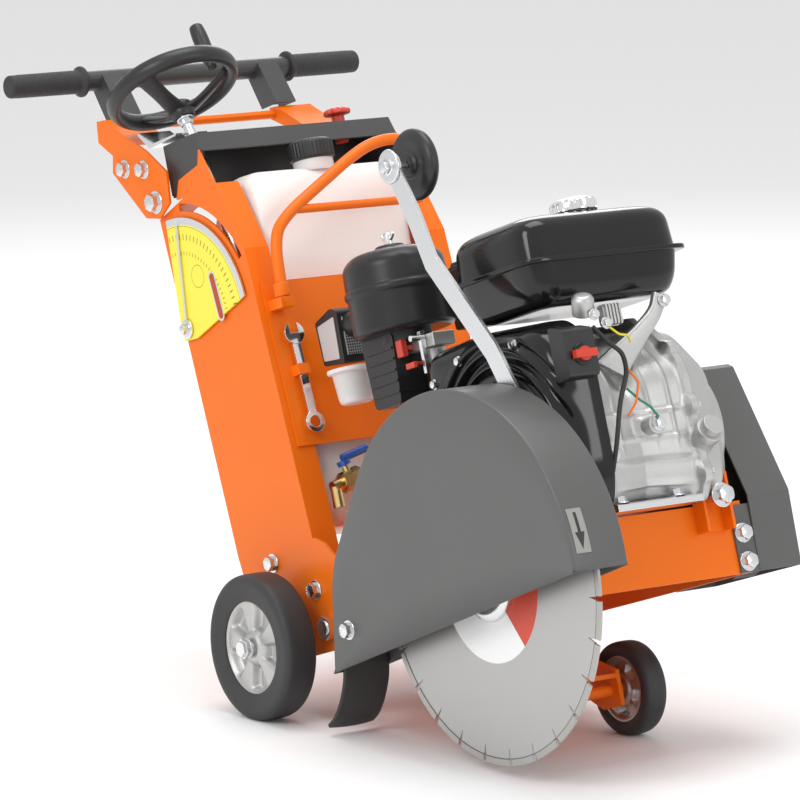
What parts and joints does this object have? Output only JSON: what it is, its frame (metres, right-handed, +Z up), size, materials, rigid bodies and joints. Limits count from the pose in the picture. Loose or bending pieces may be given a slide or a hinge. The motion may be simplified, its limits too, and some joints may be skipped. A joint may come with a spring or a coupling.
{
  "type": "walk-behind concrete saw",
  "caption": "Petrol walk-behind concrete saw with a guarded diamond blade, water tank, depth handwheel and folding handlebar, on rubber wheels.",
  "frame": {"origin": "centre of the bounding box at ground level", "axes": "+X forwards in the cutting direction, +Y to the left seen by the operator, +Z up"},
  "size_m": [1.1976, 0.564, 0.8751],
  "materials": {
    "orange_paint": "gloss powder coat",
    "grey_paint": "satin powder coat",
    "black_paint": "gloss enamel",
    "white_plastic": "translucent blow-moulded",
    "black_plastic": "satin moulded",
    "red_plastic": "gloss moulded",
    "blue_plastic": "dipped",
    "yellow_plastic": "printed",
    "brass": "cast",
    "rubber": "moulded",
    "belt_rubber": "wrapped cord",
    "tyre": "solid rubber on a cast rim",
    "zinc": "bright zinc plated",
    "cast_aluminium": "as cast",
    "blade_steel": "ground"
  },
  "bodies": {
    "machine": {"chassis_frame": "orange_paint", "column_right": "orange_paint", "column_left": "orange_paint", "cross_panel": "orange_paint", "console_beam": "grey_paint", "water_tank": "white_plastic", "water_valve": "brass", "spindle_bracket": "zinc", "depth_scale": "yellow_plastic", "spanner": "zinc", "crankcase": "cast_aluminium", "cylinder_head": "cast_aluminium", "fan_cover": "black_paint", "recoil_cover": "black_plastic", "fuel_tank": "black_paint", "air_cleaner": "black_paint", "dust_bowl": "white_plastic", "carburettor": "cast_aluminium", "muffler": "black_paint", "drive_belts": "belt_rubber", "belt_guard": "grey_paint", "shaft_bearing_right": "cast_aluminium", "shaft_bearing_left": "cast_aluminium", "blade_guard": "grey_paint", "splash_flap": "rubber", "rear_axle": "zinc", "axle_pivot_pin": "zinc"},
    "rear_wheel_right": {"rear_wheel_right": "tyre"},
    "rear_wheel_left": {"rear_wheel_left": "tyre"},
    "front_carriage": {"front_axle": "orange_paint"},
    "front_wheel_right": {"front_wheel_right": "tyre"},
    "front_wheel_left": {"front_wheel_left": "tyre"},
    "depth_handwheel": {"handwheel": "black_plastic"},
    "handwheel_knob": {"handwheel_knob": "black_plastic"},
    "depth_screw": {"depth_screw": "zinc"},
    "lift_rod": {"lift_rod": "zinc"},
    "depth_pointer": {"depth_pointer": "zinc"},
    "handles": {"handle_bracket": "orange_paint", "handlebar": "grey_paint", "grip_right": "rubber", "grip_left": "rubber"},
    "water_cap": {"water_cap": "black_plastic"},
    "valve_lever": {"water_valve_lever": "blue_plastic"},
    "stop_button": {"stop_button": "red_plastic"},
    "tank_gate": {"tank_gate": "orange_paint"},
    "pointer": {"pointer_arm": "zinc"},
    "pointer_wheel": {"pointer_wheel": "rubber"},
    "recoil_handle": {"recoil_handle": "black_plastic"},
    "choke_lever": {"choke_lever": "red_plastic"},
    "fuel_lever": {"fuel_lever": "red_plastic"},
    "throttle_lever": {"throttle_lever": "zinc"},
    "engine_switch": {"engine_switch": "red_plastic"},
    "fuel_cap": {"fuel_cap": "zinc"},
    "oil_dipstick": {"oil_dipstick": "black_plastic"},
    "crankshaft": {"flywheel": "cast_aluminium", "engine_pulley": "cast_aluminium"},
    "blade_spindle": {"blade_shaft": "blade_steel", "blade_pulley": "cast_aluminium", "outer_flange": "zinc", "saw_blade": "blade_steel"}
  },
  "joints": [
    {"name": "rear_wheel_right_spin", "type": "hinge", "parent": "machine", "child": "rear_wheel_right", "pos_m": [-0.07737, -0.217, 0.0949], "axis": [0, 1, 0], "continuous": true},
    {"name": "rear_wheel_left_spin", "type": "hinge", "parent": "machine", "child": "rear_wheel_left", "pos_m": [-0.07737, 0.217, 0.0949], "axis": [0, 1, 0], "continuous": true},
    {"name": "handwheel_turn", "type": "hinge", "parent": "machine", "child": "depth_handwheel", "pos_m": [-0.36601, -0.14, 0.76093], "axis": [-0.6088, 0, 0.7934], "range_deg": [0, 3600]},
    {"name": "front_carriage_lift", "type": "hinge", "parent": "machine", "child": "front_carriage", "pos_m": [0.00219, 0, 0.12523], "axis": [0, -1, 0], "range_deg": [0, 27.4]},
    {"name": "front_wheel_right_spin", "type": "hinge", "parent": "front_carriage", "child": "front_wheel_right", "pos_m": [0.29019, -0.097, 0.0598], "axis": [0, 1, 0], "continuous": true},
    {"name": "front_wheel_left_spin", "type": "hinge", "parent": "front_carriage", "child": "front_wheel_left", "pos_m": [0.29019, 0.097, 0.0598], "axis": [0, 1, 0], "continuous": true},
    {"name": "knob_spin", "type": "hinge", "parent": "depth_handwheel", "child": "handwheel_knob", "pos_m": [-0.37021, -0.08804, 0.81569], "axis": [-0.6088, 0, 0.7934], "continuous": true},
    {"name": "depth_screw_turn", "type": "hinge", "parent": "machine", "child": "depth_screw", "pos_m": [-0.25714, -0.14, 0.62539], "axis": [-0.3778, 0, 0.9259], "range_deg": [0, 3600]},
    {"name": "lift_rod_slide", "type": "slide", "parent": "machine", "child": "lift_rod", "axis": [0.3778, 0, -0.9259], "range_m": [0, 0.031]},
    {"name": "depth_pointer_turn", "type": "hinge", "parent": "machine", "child": "depth_pointer", "pos_m": [-0.32257, -0.165, 0.47684], "axis": [0, 1, 0], "range_deg": [0, 50]},
    {"name": "handle_fold", "type": "hinge", "parent": "machine", "child": "handles", "pos_m": [-0.39076, 0, 0.63989], "axis": [0, 1, 0], "range_deg": [-50, 2]},
    {"name": "water_cap_turn", "type": "hinge", "parent": "machine", "child": "water_cap", "pos_m": [-0.26982, 0, 0.70528], "axis": [-0.3007, 0, 0.9537], "range_deg": [0, 360]},
    {"name": "water_valve_turn", "type": "hinge", "parent": "machine", "child": "valve_lever", "pos_m": [-0.07239, -0.0882, 0.31855], "axis": [0.29, 0.2641, -0.9198], "range_deg": [0, 90]},
    {"name": "stop_button_press", "type": "slide", "parent": "machine", "child": "stop_button", "axis": [0.3007, 0, -0.9537], "range_m": [0, 0.006], "stiffness_N_per_m": 600},
    {"name": "tank_gate_swing", "type": "hinge", "parent": "machine", "child": "tank_gate", "pos_m": [-0.14101, -0.134, 0.53619], "axis": [0.3007, 0, -0.9537], "range_deg": [0, 50]},
    {"name": "pointer_swing", "type": "hinge", "parent": "machine", "child": "pointer", "pos_m": [0.45349, -0.134, 0.35665], "axis": [0, 1, 0], "range_deg": [0, 170]},
    {"name": "pointer_wheel_spin", "type": "hinge", "parent": "pointer", "child": "pointer_wheel", "pos_m": [0.10941, -0.098, 0.72629], "axis": [0, 1, 0], "continuous": true},
    {"name": "recoil_pull", "type": "slide", "parent": "machine", "child": "recoil_handle", "axis": [-1, 0, 0.0004], "range_m": [0, 0.2], "stiffness_N_per_m": 40},
    {"name": "choke_slide", "type": "slide", "parent": "machine", "child": "choke_lever", "axis": [-0.9537, 0, -0.3007], "range_m": [0, 0.012]},
    {"name": "fuel_slide", "type": "slide", "parent": "machine", "child": "fuel_lever", "axis": [-0.9537, 0, -0.3007], "range_m": [0, 0.01]},
    {"name": "throttle_turn", "type": "hinge", "parent": "machine", "child": "throttle_lever", "pos_m": [0.1232, -0.092, 0.46641], "axis": [0, 1, 0], "range_deg": [0, 15]},
    {"name": "engine_switch_turn", "type": "hinge", "parent": "machine", "child": "engine_switch", "pos_m": [0.43625, -0.084, 0.52107], "axis": [0.9537, 0, 0.3007], "range_deg": [0, 90]},
    {"name": "fuel_cap_turn", "type": "hinge", "parent": "machine", "child": "fuel_cap", "pos_m": [0.25654, 0.04, 0.67202], "axis": [-0.3007, 0, 0.9537], "range_deg": [0, 360]},
    {"name": "dipstick_turn", "type": "hinge", "parent": "machine", "child": "oil_dipstick", "pos_m": [0.45285, 0.096, 0.40856], "axis": [0.7186, 0, 0.6955], "range_deg": [0, 360]},
    {"name": "blade_spin", "type": "hinge", "parent": "machine", "child": "blade_spindle", "pos_m": [0.36967, -0.177, 0.24005], "axis": [0, 1, 0], "continuous": true},
    {"name": "crank_spin", "type": "hinge", "parent": "machine", "child": "crankshaft", "pos_m": [0.3189, 0, 0.38446], "axis": [0, 1, 0], "continuous": true}
  ],
  "couplings": [
    {"joint": "depth_screw_turn", "follows": "handwheel_turn", "ratio": 1},
    {"joint": "lift_rod_slide", "follows": "handwheel_turn", "m_per_rad": 0.00049179},
    {"joint": "front_carriage_lift", "follows": "handwheel_turn", "ratio": 0.0075972},
    {"joint": "depth_pointer_turn", "follows": "handwheel_turn", "ratio": 0.013861},
    {"joint": "crank_spin", "follows": "blade_spin", "ratio": 1.25}
  ]
}
